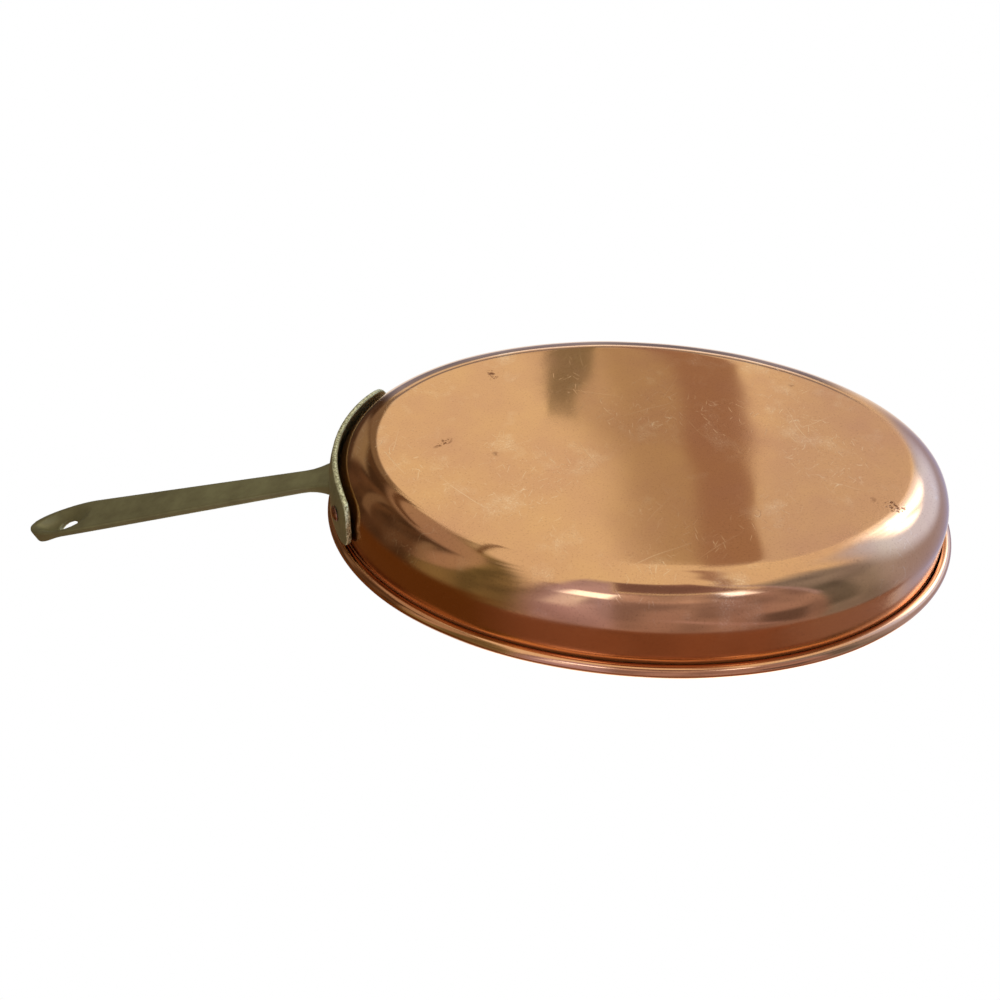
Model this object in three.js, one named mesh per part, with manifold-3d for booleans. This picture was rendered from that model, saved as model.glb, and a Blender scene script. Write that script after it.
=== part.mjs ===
// Oval copper gratin pan. A copper shell has its rim rolled outwards over a wire and is lined
// with tin. A cast brass handle is held on one end by two copper rivets.
// Millimetres, +Z up. The flat underside lies on z = 0 and the handle points to -X.

import * as THREE from 'three';
import Module from 'manifold-3d';

const wasm = await Module();
wasm.setup();

// Pan body
const PAN_LENGTH = 305; // over the rolled rim, along X
const PAN_WIDTH = 209; // over the rolled rim, along Y
const PAN_HEIGHT = 43; // table to the top of the rolled rim
const OUTLINE_POWER = 2.04; // 2 is an ellipse, a little more is a fuller oval
const COPPER = 1.2; // sheet thickness
const CORNER_RADIUS = 22.5; // outside radius between base and wall
const WALL_LEAN = 0.067; // outward lean of the wall, radians
const BEAD_RADIUS = 3.25; // outside radius of the rolled rim
const LINING = 0.4; // thickness of the tin lining
const FIT_GAP = 0.3; // clearance between touching pieces

// Handle bar
const HANDLE_LENGTH = 184; // from the flange to the tip, along the bar
const HANDLE_RISE = 0.28; // slope of the bar, radians
const HANDLE_ROOT_HEIGHT = 30.7; // underside of the bar at the flange, above the table
const HANDLE_THICKNESS = 3.9;
const HANDLE_ROOT_WIDTH = 13;
const HANDLE_END_WIDTH = 22;
const EDGE_CHAMFER = 0.5;
const ROOT_FLARE = 4; // how far the root spreads to each side
const ROOT_DEPTH_FLARE = 1.5; // how much the root thickens up and down
const FLARE_LENGTH = 17;
const ROOT_EMBED = 1.3; // how far the bar runs into the flange

// Handle tip
const END_ROUND = 39; // length of the rounded end
const END_POWER = 2.3; // 2 rounds it as an ellipse, a little more is fuller
const END_HEEL = 4.2; // extra depth of the casting at the tip
const HEEL_LENGTH = 24;
const END_LIFT = 2; // upward curl of the underside
const LIFT_LENGTH = 40;
const HOLLOW_LENGTH = 38; // hollow in the underside
const HOLLOW_DEPTH = 5.2;
const HOLLOW_LIP = 1.2; // lip left round the hollow
const CROWN = 2.8; // swelling on top, over the hollow
const HANG_HOLE_LENGTH = 12;
const HANG_HOLE_WIDTH = 7.8;
const HANG_HOLE_SETBACK = 22; // from the tip to the middle of the hole

// Flange, cast in one with the bar and bent round the end of the pan
const FLANGE_THICKNESS = 3;
const FLANGE_SPREAD = 0.5; // half the angle it takes round the oval, radians
const FLANGE_FLOOR = 6.6; // its lowest edge above the table
const FLANGE_TIP_RISE = 4; // how much higher that edge is at the wing tips
const FLANGE_TIP_DROP = 3; // how much lower its top edge is at the wing tips
const FLANGE_TIP_ROUND = 7; // corner radius of the wing tips
const FLANGE_BEND = 47; // its own lower bend, gentler than the corner of the pan
const FLANGE_TIP_LIFT = 0.8; // how far the wing tips stand off the wall
const FLANGE_TAPER = 5; // power of its narrowing, so that it is nearly all near the tips

// Rivets
const SHANK_WIDTH = 4.5;
const HEAD_WIDTH = 7.6;
const HEAD_HEIGHT = 1.6;
const INNER_HEAD_WIDTH = 8.8;
const INNER_HEAD_HEIGHT = 1.1;
const RIVET_ANGLE = 0.378; // round the oval from the handle, radians
const RIVET_HEIGHT = 20;

// How finely round shapes are divided
const PAN_STEPS = 72;
const CORNER_STEPS = 6;
const BEAD_STEPS = 11;
const WIRE_STEPS = 8;
const RIVET_STEPS = 18;
const DOME_STEPS = 4;
const FLANGE_STEPS = 28;
const FLANGE_ROWS = 5;
const FLARE_STEPS = 4;
const END_STEPS = 20;
const SECTION_STEPS = 12;
const HOLE_STEPS = 24;
const SEAT_STEP = 0.01; // how closely the seat of a rivet is found

const steps = (count, from, to) =>
  Array.from({ length: count + 1 }, (_, i) => from + ((to - from) * i) / count);
const smooth = (value) => THREE.MathUtils.smoothstep(value, 0, 1);

// Closed surface through a row of rings with equal numbers of points. Each end is closed with
// a fan to its pole, or the last ring is joined to the first when no poles are given.
function loft(rings, poles) {
  const size = rings[0].length;
  const points = rings.flat();
  const faces = [];
  const lastBand = poles ? rings.length - 1 : rings.length;
  for (let band = 0; band < lastBand; band += 1) {
    const next = (band + 1) % rings.length;
    for (let i = 0; i < size; i += 1) {
      const j = (i + 1) % size;
      const [a, b, c, d] = [band * size + i, band * size + j, next * size + j, next * size + i];
      faces.push([a, b, c], [a, c, d]);
    }
  }
  if (poles) {
    const first = points.push(poles[0]) - 1;
    const last = points.push(poles[1]) - 1;
    const end = (rings.length - 1) * size;
    for (let i = 0; i < size; i += 1) {
      const j = (i + 1) % size;
      faces.push([first, j, i], [last, end + i, end + j]);
    }
  }
  const volume = faces.reduce(
    (sum, [a, b, c]) => sum + points[a].dot(new THREE.Vector3().crossVectors(points[b], points[c])),
    0,
  );
  const outward = volume > 0 ? faces : faces.map(([a, b, c]) => [a, c, b]);
  const geometry = new THREE.BufferGeometry().setFromPoints(points);
  geometry.setIndex(outward.flat());
  return geometry;
}

const centreOf = (ring) =>
  ring.reduce((sum, point) => sum.add(point), new THREE.Vector3()).divideScalar(ring.length);
const capped = (rings) => loft(rings, [centreOf(rings[0]), centreOf(rings.at(-1))]);

// Cutting and joining of closed solids
function toManifold(geometry) {
  return new wasm.Manifold(
    new wasm.Mesh({
      numProp: 3,
      vertProperties: new Float32Array(geometry.attributes.position.array),
      triVerts: new Uint32Array(geometry.index.array),
    }),
  );
}

function fromManifold(manifold) {
  const mesh = manifold.getMesh();
  const geometry = new THREE.BufferGeometry();
  geometry.setAttribute('position', new THREE.BufferAttribute(mesh.vertProperties, 3));
  geometry.setIndex(new THREE.BufferAttribute(mesh.triVerts, 1));
  return geometry;
}

const drill = (geometry, cutters) =>
  fromManifold(
    cutters.reduce((body, cutter) => body.subtract(toManifold(cutter)), toManifold(geometry)),
  );

// The oval outline moved inwards by an inset. Angle 0 is at +X, PI is at the handle.
function ovalPoint(angle, inset, z) {
  const halfLength = PAN_LENGTH / 2;
  const halfWidth = PAN_WIDTH / 2;
  const [c, s] = [Math.cos(angle), Math.sin(angle)];
  const cx = Math.sign(c) * Math.abs(c) ** (2 / OUTLINE_POWER);
  const cy = Math.sign(s) * Math.abs(s) ** (2 / OUTLINE_POWER);
  const nx = (Math.sign(cx) * Math.abs(cx) ** (OUTLINE_POWER - 1)) / halfLength;
  const ny = (Math.sign(cy) * Math.abs(cy) ** (OUTLINE_POWER - 1)) / halfWidth;
  const size = Math.hypot(nx, ny);
  return new THREE.Vector3(
    halfLength * cx - (inset * nx) / size,
    halfWidth * cy - (inset * ny) / size,
    z,
  );
}

const ovalRing = ([inset, z]) =>
  Array.from({ length: PAN_STEPS }, (_, i) => ovalPoint((i * 2 * Math.PI) / PAN_STEPS, inset, z));

// Upright section of the pan as [inset, z]. The bead centre and the corner centre place it.
const beadCentre = [BEAD_RADIUS, PAN_HEIGHT - BEAD_RADIUS];
const hollowRadius = BEAD_RADIUS - COPPER;
const cornerCentre = [
  BEAD_RADIUS +
    (hollowRadius + CORNER_RADIUS + (beadCentre[1] - CORNER_RADIUS) * Math.sin(WALL_LEAN)) /
      Math.cos(WALL_LEAN),
  CORNER_RADIUS,
];

const onCircle = (centre, radius, angle) => [
  centre[0] + radius * Math.cos(angle),
  centre[1] + radius * Math.sin(angle),
];
const arc = (centre, radius, from, to, count) =>
  steps(count, from, to).map((angle) => onCircle(centre, radius, angle));

// A face of the sheet at some depth below its outer face, from the flat base up to the bead
function sheetFace(depth) {
  const radius = CORNER_RADIUS - depth;
  const corner = arc(cornerCentre, radius, 1.5 * Math.PI, Math.PI + WALL_LEAN, CORNER_STEPS);
  return [...corner, onCircle(beadCentre, hollowRadius + depth, WALL_LEAN)];
}

// Inset of such a face at a given height
function wallInset(depth, z) {
  const radius = CORNER_RADIUS - depth;
  const drop = CORNER_RADIUS - z;
  if (drop > radius * Math.sin(WALL_LEAN)) {
    return cornerCentre[0] - Math.sqrt(Math.max(0, radius ** 2 - drop ** 2));
  }
  return cornerCentre[0] - (radius - drop * Math.sin(WALL_LEAN)) / Math.cos(WALL_LEAN);
}

// Dish with the given section. Its floor starts and ends on the middle line of the pan
const dish = (section, underside, floor) =>
  loft(section.map(ovalRing), [
    new THREE.Vector3(0, 0, underside),
    new THREE.Vector3(0, 0, floor),
  ]);

// Copper shell: up the outside, round the inside of the roll, back over the roll, down inside
function shellGeometry() {
  const reach = Math.acos((hollowRadius - FIT_GAP) / BEAD_RADIUS);
  const curlEnd = 2 * Math.PI + WALL_LEAN - reach;
  const inner = arc(beadCentre, hollowRadius, WALL_LEAN, curlEnd, BEAD_STEPS - 2).slice(1);
  const outer = arc(beadCentre, BEAD_RADIUS, curlEnd, WALL_LEAN, BEAD_STEPS).slice(0, -1);
  return dish([...sheetFace(0), ...inner, ...outer, ...sheetFace(COPPER).reverse()], 0, COPPER);
}

// Tin lining: a thin skin over the inside of the shell, up to the start of the roll
const liningBack = COPPER + FIT_GAP;
const liningFace = liningBack + LINING;

function liningGeometry() {
  const section = [...sheetFace(liningBack), ...sheetFace(liningFace).reverse()];
  return dish(section, liningBack, liningFace);
}

// Wire inside the rolled rim
function wireGeometry() {
  const radius = hollowRadius - FIT_GAP;
  const section = arc(beadCentre, radius, 0, 2 * Math.PI, WIRE_STEPS).slice(0, -1);
  return loft(section.map(ovalRing));
}

// Inner face of the flange: along the straight wall, then bending in less than the pan does.
// Towards its wing tips it stands off the wall a little.
function flangeInset(z) {
  const bendTop = CORNER_RADIUS * (1 - Math.sin(WALL_LEAN));
  const straight = wallInset(0, bendTop) + (bendTop - z) * Math.tan(WALL_LEAN);
  const bend = Math.max(0, bendTop - z) ** 2 / (2 * FLANGE_BEND);
  return straight + bend - FIT_GAP;
}

const flangeLift = (across) => FLANGE_TIP_LIFT * Math.abs(across) ** 3;

function flangeGeometry() {
  const top = PAN_HEIGHT - 2 * BEAD_RADIUS - FIT_GAP - EDGE_CHAMFER;
  const halfSpan = (PAN_WIDTH / 2) * FLANGE_SPREAD;
  const rings = steps(FLANGE_STEPS, -Math.PI / 2, Math.PI / 2).map((turn) => {
    const across = Math.sin(turn);
    const overTip = Math.max(0, 1 - ((1 - Math.abs(across)) * halfSpan) / FLANGE_TIP_ROUND);
    const round = FLANGE_TIP_ROUND * (1 - Math.sqrt(1 - overTip ** 2));
    const taper = Math.abs(across) ** FLANGE_TAPER;
    const low = FLANGE_FLOOR + FLANGE_TIP_RISE * taper + round;
    const high = top - FLANGE_TIP_DROP * taper - round;
    const angle = Math.PI + across * FLANGE_SPREAD;
    const at = (out, z) => ovalPoint(angle, flangeInset(z) - flangeLift(across) - out, z);
    const faceHeights = steps(FLANGE_ROWS, low + EDGE_CHAMFER, high - EDGE_CHAMFER);
    return [
      ...faceHeights.map((z) => at(0, z)),
      at(EDGE_CHAMFER, high),
      at(FLANGE_THICKNESS - EDGE_CHAMFER, high),
      ...faceHeights.reverse().map((z) => at(FLANGE_THICKNESS, z)),
      at(FLANGE_THICKNESS - EDGE_CHAMFER, low),
      at(EDGE_CHAMFER, low),
    ];
  });
  return capped(rings);
}

// Handle bar, in its own coordinates: run along the bar, y across it, lift above its underside
const barRoot = ovalPoint(
  Math.PI,
  flangeInset(HANDLE_ROOT_HEIGHT) - FLANGE_THICKNESS,
  HANDLE_ROOT_HEIGHT,
);
const barAhead = new THREE.Vector3(-Math.cos(HANDLE_RISE), 0, Math.sin(HANDLE_RISE));
const barUp = new THREE.Vector3(Math.sin(HANDLE_RISE), 0, Math.cos(HANDLE_RISE));
const plumb = new THREE.Vector3(0, 0, 1);

function barPoint(run, y, lift) {
  const up = plumb.clone().lerp(barUp, smooth(run / FLARE_LENGTH)).normalize();
  const point = barRoot.clone().addScaledVector(barAhead, run).addScaledVector(up, lift);
  point.y += y;
  return point;
}

const roundStart = HANDLE_LENGTH - END_ROUND;

function barHalfWidth(run) {
  const taper = (HANDLE_END_WIDTH - HANDLE_ROOT_WIDTH) / roundStart;
  const straight = HANDLE_ROOT_WIDTH + taper * Math.min(run, roundStart);
  const flare = ROOT_FLARE * Math.max(0, 1 - run / FLARE_LENGTH) ** 2;
  const past = Math.max(0, run - roundStart) / END_ROUND;
  return (straight / 2) * Math.max(0, 1 - past ** END_POWER) ** (1 / END_POWER) + flare;
}

// How deep a point lies in the hollow of the tip, 1 in the middle and 0 at its lip
function hollowShare(run, y) {
  const middle = HANDLE_LENGTH - HOLLOW_LENGTH / 2 - HOLLOW_LIP;
  const along = (run - middle) / (HOLLOW_LENGTH / 2);
  const across = y / Math.max(EDGE_CHAMFER, barHalfWidth(run) - HOLLOW_LIP);
  return smooth(1 - along ** 2 - across ** 2);
}

function barSection(run) {
  const half = barHalfWidth(run);
  const flare = ROOT_DEPTH_FLARE * Math.max(0, 1 - run / FLARE_LENGTH) ** 2;
  const curl = END_LIFT * smooth(1 - (HANDLE_LENGTH - run) / LIFT_LENGTH);
  const heel = END_HEEL * smooth(1 - (HANDLE_LENGTH - run) / HEEL_LENGTH);
  const chamfer = Math.min(EDGE_CHAMFER, half / 3);
  const low = curl - flare;
  const high = HANDLE_THICKNESS + curl + heel + flare;
  const across = steps(SECTION_STEPS, chamfer - half, half - chamfer);
  return [
    ...across.map((y) => barPoint(run, y, low + HOLLOW_DEPTH * hollowShare(run, y))),
    barPoint(run, half, low + chamfer),
    barPoint(run, half, high - chamfer),
    ...across.reverse().map((y) => barPoint(run, y, high + CROWN * hollowShare(run, y))),
    barPoint(run, -half, high - chamfer),
    barPoint(run, -half, low + chamfer),
  ];
}

function barGeometry() {
  const root = [-ROOT_EMBED, ...steps(FLARE_STEPS, 0, FLARE_LENGTH)];
  const end = steps(END_STEPS, 0, Math.PI / 2)
    .slice(0, -1)
    .map((turn) => roundStart + END_ROUND * Math.sin(turn));
  const rings = [...root, roundStart / 2, ...end].map(barSection);
  const tip = centreOf(barSection(HANDLE_LENGTH));
  return loft(rings, [centreOf(rings[0]), tip]);
}

function hangHoleCutter() {
  const middle = HANDLE_LENGTH - HANG_HOLE_SETBACK;
  const outline = steps(HOLE_STEPS, 0, 2 * Math.PI).slice(0, -1);
  const ring = (lift) =>
    outline.map((angle) =>
      barPoint(
        middle + (HANG_HOLE_LENGTH / 2) * Math.cos(angle),
        (HANG_HOLE_WIDTH / 2) * Math.sin(angle),
        lift,
      ),
    );
  const through = HANDLE_THICKNESS + END_HEEL + CROWN;
  return capped([ring(-through), ring(2 * through)]);
}

// A rivet goes in square to the flange. Depth is counted inwards from the flange face. The inner
// head is flat below, so it seats on the highest part of the curved lining under it.
function rivetFrame(angle, height) {
  const out = FLANGE_THICKNESS + flangeLift((angle - Math.PI) / FLANGE_SPREAD);
  const faceInset = (z) => flangeInset(z) - out;
  const slope = faceInset(height - 1) - faceInset(height + 1);
  const inward = new THREE.Vector2(2, slope).normalize();
  const start = new THREE.Vector2(faceInset(height), height);
  const depthAt = (shift) => {
    const [x, z] = [start.x - inward.y * shift, start.y + inward.x * shift];
    let depth = FLANGE_THICKNESS;
    while (x + inward.x * depth < wallInset(liningFace, z + inward.y * depth)) {
      depth += SEAT_STEP;
    }
    return depth;
  };
  const reach = INNER_HEAD_WIDTH / 2;
  const endRadius = PAN_WIDTH ** 2 / (2 * PAN_LENGTH);
  const origin = ovalPoint(angle, start.x, start.y);
  const ahead = ovalPoint(angle, start.x + inward.x, start.y + inward.y).sub(origin).normalize();
  const grip = Math.max(...[-reach, 0, reach].map(depthAt)) + reach ** 2 / (2 * endRadius);
  return { origin, ahead, grip };
}

// Body turned about the line of a rivet, from [radius, depth] pairs between two depths on it
function turned(frame, profile, start, end) {
  const turn = new THREE.Quaternion().setFromUnitVectors(plumb, frame.ahead);
  const place = (radius, angle, depth) =>
    new THREE.Vector3(radius * Math.cos(angle), radius * Math.sin(angle), depth)
      .applyQuaternion(turn)
      .add(frame.origin);
  const rings = profile.map(([radius, depth]) =>
    Array.from({ length: RIVET_STEPS }, (_, i) =>
      place(radius, (i * 2 * Math.PI) / RIVET_STEPS, depth),
    ),
  );
  return loft(rings, [place(0, 0, start), place(0, 0, end)]);
}

// Rings of a rounded head from its middle to its edge. Its rise is negative on the outside
const dome = (width, rise, seat) =>
  steps(DOME_STEPS, 0, Math.PI / 2)
    .slice(1)
    .map((turn) => [(width / 2) * Math.sin(turn), seat + rise * Math.cos(turn)]);

function rivetGeometry(frame) {
  const seat = -FIT_GAP;
  const innerSeat = frame.grip + FIT_GAP;
  const shank = SHANK_WIDTH / 2;
  const outerHead = dome(HEAD_WIDTH, -HEAD_HEIGHT, seat);
  const innerHead = dome(INNER_HEAD_WIDTH, INNER_HEAD_HEIGHT, innerSeat).reverse();
  const profile = [...outerHead, [shank, seat], [shank, innerSeat], ...innerHead];
  return turned(frame, profile, seat - HEAD_HEIGHT, innerSeat + INNER_HEAD_HEIGHT);
}

function rivetHole(frame) {
  const radius = SHANK_WIDTH / 2 + FIT_GAP;
  const start = -2 * HEAD_HEIGHT;
  const end = frame.grip + 2 * INNER_HEAD_HEIGHT;
  return turned(frame, [[radius, start], [radius, end]], start, end);
}

const copper = { color: 0xc07a4e, roughness: 0.22, metalness: 1 };
const brass = { color: 0xa08d4a, roughness: 0.35, metalness: 1 };
const tin = { color: 0xc4c5c2, roughness: 0.4, metalness: 1 };
const steel = { color: 0x84827e, roughness: 0.5, metalness: 1 };

function piece(name, geometry, look) {
  geometry.computeVertexNormals();
  const mesh = new THREE.Mesh(geometry, new THREE.MeshStandardMaterial(look));
  mesh.name = name;
  return mesh;
}

const rivets = [
  ['rivet_left_wing', rivetFrame(Math.PI + RIVET_ANGLE, RIVET_HEIGHT)],
  ['rivet_right_wing', rivetFrame(Math.PI - RIVET_ANGLE, RIVET_HEIGHT)],
];
const holes = rivets.map(([, frame]) => rivetHole(frame));
const handleBody = fromManifold(toManifold(flangeGeometry()).add(toManifold(barGeometry())));

const pan = new THREE.Group();
pan.name = 'gratin_pan';
pan.add(piece('pan_shell', drill(shellGeometry(), holes), copper));
pan.add(piece('tin_lining', drill(liningGeometry(), holes), tin));
pan.add(piece('rim_wire', wireGeometry(), steel));
pan.add(piece('handle', drill(handleBody, [...holes, hangHoleCutter()]), brass));
rivets.forEach(([name, frame]) => pan.add(piece(name, rivetGeometry(frame), copper)));

export default pan;
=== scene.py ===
"""Oval copper gratin pan: the looks of the pan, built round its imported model.

Metres, +Z up out of the pan. The flat underside lies on z = 0 and the handle points to -X.
"""

import math

import bmesh
import bpy
import numpy as np
from mathutils import Matrix, Vector


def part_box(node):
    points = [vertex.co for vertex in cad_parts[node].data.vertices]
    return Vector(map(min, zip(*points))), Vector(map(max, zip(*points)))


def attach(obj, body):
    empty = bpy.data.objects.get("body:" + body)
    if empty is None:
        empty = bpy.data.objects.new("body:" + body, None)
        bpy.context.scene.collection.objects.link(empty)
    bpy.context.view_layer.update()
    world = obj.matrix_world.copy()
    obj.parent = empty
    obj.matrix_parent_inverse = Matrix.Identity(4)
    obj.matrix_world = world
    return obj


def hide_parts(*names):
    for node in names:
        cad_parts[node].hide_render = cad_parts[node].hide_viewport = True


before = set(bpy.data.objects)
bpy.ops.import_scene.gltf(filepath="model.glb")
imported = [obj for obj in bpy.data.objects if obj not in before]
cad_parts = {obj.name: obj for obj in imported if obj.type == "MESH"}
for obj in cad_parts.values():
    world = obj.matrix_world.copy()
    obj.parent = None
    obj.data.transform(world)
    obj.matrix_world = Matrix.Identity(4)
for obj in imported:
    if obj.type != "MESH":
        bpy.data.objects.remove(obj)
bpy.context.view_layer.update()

bl_info = {
    "name": "Oval Gratin Pan",
    "version": (1, 0, 0),
    "blender": (4, 5, 0),
    "location": "3D View > Sidebar > Gratin Pan",
    "description": "Builds a copper gratin pan with its tin lining, brass handle, rivets and studio",
    "category": "Object",
}

MM = 0.001
SHELL_LOW, SHELL_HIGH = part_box("pan_shell")
SHELL_SIZE = SHELL_HIGH - SHELL_LOW
RIVET_NODES = ("rivet_left_wing", "rivet_right_wing")
WELD_DISTANCE = 0.002 * MM
NUMBER, VECTOR = "ShaderNodeMath", "ShaderNodeVectorMath"


# Shared helpers


def colour(hex_code):
    """Linear RGBA of an sRGB colour written as #rrggbb."""
    parts = [int(hex_code[i:i + 2], 16) / 255 for i in (1, 3, 5)]
    linear = [p / 12.92 if p <= 0.04045 else ((p + 0.055) / 1.055) ** 2.4 for p in parts]
    return (*linear, 1.0)


def add(tree, kind, inputs=None, **properties):
    """Adds a node, sets its properties, and fills or links its input sockets.

    An input is a plain value, a socket, or a node, which stands for its first output.
    """
    node = tree.nodes.new(kind)
    for name, value in properties.items():
        setattr(node, name, value)
    for key, value in (inputs or {}).items():
        if isinstance(value, bpy.types.Node):
            value = value.outputs[0]
        if isinstance(value, bpy.types.NodeSocket):
            tree.links.new(value, node.inputs[key])
        else:
            node.inputs[key].default_value = value
    return node


def placed(name, data):
    """New object in the scene, of a mesh, a lamp or a camera."""
    made = bpy.data.objects.new(name, data)
    bpy.context.scene.collection.objects.link(made)
    return made


def mesh_object(name, vertices, edges=(), faces=()):
    mesh = bpy.data.meshes.new(name)
    mesh.from_pydata([tuple(v) for v in vertices], edges, faces)
    return placed(name, mesh)


def store(source, name, values):
    """Keeps a number or a vector for each point of a mesh as a named attribute."""
    vectors = isinstance(values[0], Vector)
    mark = source.data.attributes.new(name, "FLOAT_VECTOR" if vectors else "FLOAT", "POINT")
    for point, value in zip(mark.data, values):
        setattr(point, "vector" if vectors else "value", value)


def baked(source, name):
    """Plain mesh object of what a modified object evaluates to. The source is removed."""
    graph = bpy.context.evaluated_depsgraph_get()
    mesh = bpy.data.meshes.new_from_object(source.evaluated_get(graph), depsgraph=graph)
    bpy.data.objects.remove(source)
    mesh.name = name
    return placed(name, mesh)


def run_tree(source, tree, values):
    """Puts a node tree on an object and fills its inputs by the identifiers of their sockets."""
    modifier = source.modifiers.new(tree.name, "NODES")
    modifier.node_group = tree
    sockets = {s.name: s.identifier for s in tree.interface.items_tree if s.in_out == "INPUT"}
    for name, value in values.items():
        modifier[sockets[name]] = value


# Sections of the pan, as rows of (inset from the outline, share of the way out, height)


def arc(centre, radius, start, end, count):
    """Points of an arc round a centre, from a start angle to an end angle."""
    turns = (start + (end - start) * i / count for i in range(count + 1))
    return [(centre[0] + radius * math.cos(t), centre[1] + radius * math.sin(t)) for t in turns]


class PanSection:
    """Upright section of the pan, worked out from its sizes."""

    base_rows = 26
    corner_rows = 26
    wall_rows = 8
    bead_rows = 44

    def __init__(self, pan):
        self.pan = pan
        self.hollow = pan.bead_radius - pan.copper
        self.bead = (pan.bead_radius, pan.height - pan.bead_radius)
        reach = self.hollow + pan.corner_radius
        reach += (self.bead[1] - pan.corner_radius) * math.sin(pan.wall_lean)
        self.corner = (pan.bead_radius + reach / math.cos(pan.wall_lean), pan.corner_radius)

    def face(self, depth):
        """A face of the sheet at some depth below its outer face, from the middle to the bead."""
        lean = self.pan.wall_lean
        flat = [(self.corner[0], i / self.base_rows, depth) for i in range(self.base_rows)]
        bend = arc(
            self.corner, self.pan.corner_radius - depth, 1.5 * math.pi, math.pi + lean,
            self.corner_rows,
        )
        top = arc(self.bead, self.hollow + depth, lean, lean, 1)[0]
        foot = bend[-1]
        wall = [
            tuple(a + (b - a) * i / self.wall_rows for a, b in zip(foot, top))
            for i in range(1, self.wall_rows + 1)
        ]
        return flat + [(inset, 1.0, height) for inset, height in bend + wall]

    def shell(self):
        pan = self.pan
        wire_radius = self.hollow - pan.fit_gap
        curl_end = 2 * math.pi + pan.wall_lean - math.acos(wire_radius / pan.bead_radius)
        inner = arc(self.bead, self.hollow, pan.wall_lean, curl_end, self.bead_rows)[1:]
        outer = arc(self.bead, pan.bead_radius, curl_end, pan.wall_lean, self.bead_rows)[:-1]
        roll = [(inset, 1.0, height) for inset, height in inner + outer]
        return self.face(0.0) + roll + self.face(pan.copper)[::-1]

    def lining(self):
        back = self.pan.copper + self.pan.fit_gap
        return self.face(back) + self.face(back + self.pan.lining)[::-1]


def section_object(name, rows):
    edges = [(i, i + 1) for i in range(len(rows) - 1)]
    return mesh_object(name, rows, edges)


# Geometry Nodes


def tree_with(name, sockets):
    tree = bpy.data.node_groups.new(name, "GeometryNodeTree")
    tree.interface.new_socket("Geometry", in_out="INPUT", socket_type="NodeSocketGeometry")
    for label, kind in sockets:
        tree.interface.new_socket(label, in_out="INPUT", socket_type=kind)
    tree.interface.new_socket("Geometry", in_out="OUTPUT", socket_type="NodeSocketGeometry")
    return tree, add(tree, "NodeGroupInput").outputs


def section_grid(tree, section, steps):
    """Grid with a row for each point of a section, and a column for each step of a full turn.

    Gives the grid, the row and the angle of each of its points, and the section's x, y and z there.
    """
    rows = add(tree, "GeometryNodeAttributeDomainSize", {0: section}).outputs["Point Count"]
    columns = add(tree, NUMBER, {0: steps, 1: 1.0})
    grid = add(tree, "GeometryNodeMeshGrid", {"Vertices X": columns, "Vertices Y": rows})
    index = add(tree, "GeometryNodeInputIndex")
    row = add(tree, NUMBER, {0: index, 1: rows}, operation="MODULO")
    column = add(tree, NUMBER, {0: index, 1: rows}, operation="DIVIDE")
    column = add(tree, NUMBER, {0: column}, operation="FLOOR")
    turn = add(tree, NUMBER, {0: column, 1: steps}, operation="DIVIDE")
    angle = add(tree, NUMBER, {0: turn, 1: 2 * math.pi}, operation="MULTIPLY")
    sampled = add(tree, "GeometryNodeSampleIndex", {
        "Geometry": section, "Value": add(tree, "GeometryNodeInputPosition"), "Index": row,
    }, data_type="FLOAT_VECTOR")
    return grid, row, angle, add(tree, "ShaderNodeSeparateXYZ", {0: sampled}).outputs


def signed_power(tree, base, exponent):
    """Each part of a vector to a power, with the sign that it had."""
    sign = add(tree, VECTOR, {0: base}, operation="SIGN")
    plain = add(tree, VECTOR, {0: base}, operation="ABSOLUTE")
    power = add(tree, VECTOR, {0: plain, 1: exponent}, operation="POWER")
    return add(tree, VECTOR, {0: sign, 1: power}, operation="MULTIPLY")


def dented(tree, skin, dent_depth, dent_size):
    """Shallow dents, always inwards, such as a thin sheet keeps from pressing and years of use."""
    rise, full = 0.3, 0.7
    waves = add(tree, NUMBER, {0: 1.0, 1: dent_size}, operation="DIVIDE")
    noise = add(tree, "ShaderNodeTexNoise", {
        "Vector": add(tree, "GeometryNodeInputPosition"), "Scale": waves, "Detail": 1.0,
    })
    depth = add(tree, "ShaderNodeMapRange", {
        "Value": noise, "From Min": rise, "From Max": full, "To Min": 0.0, "To Max": dent_depth,
    })
    depth = add(tree, NUMBER, {0: depth, 1: -1.0}, operation="MULTIPLY")
    push = add(tree, VECTOR, {
        0: add(tree, "GeometryNodeInputNormal"), "Scale": depth,
    }, operation="SCALE")
    return add(tree, "GeometryNodeSetPosition", {"Geometry": skin, "Offset": push})


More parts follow.
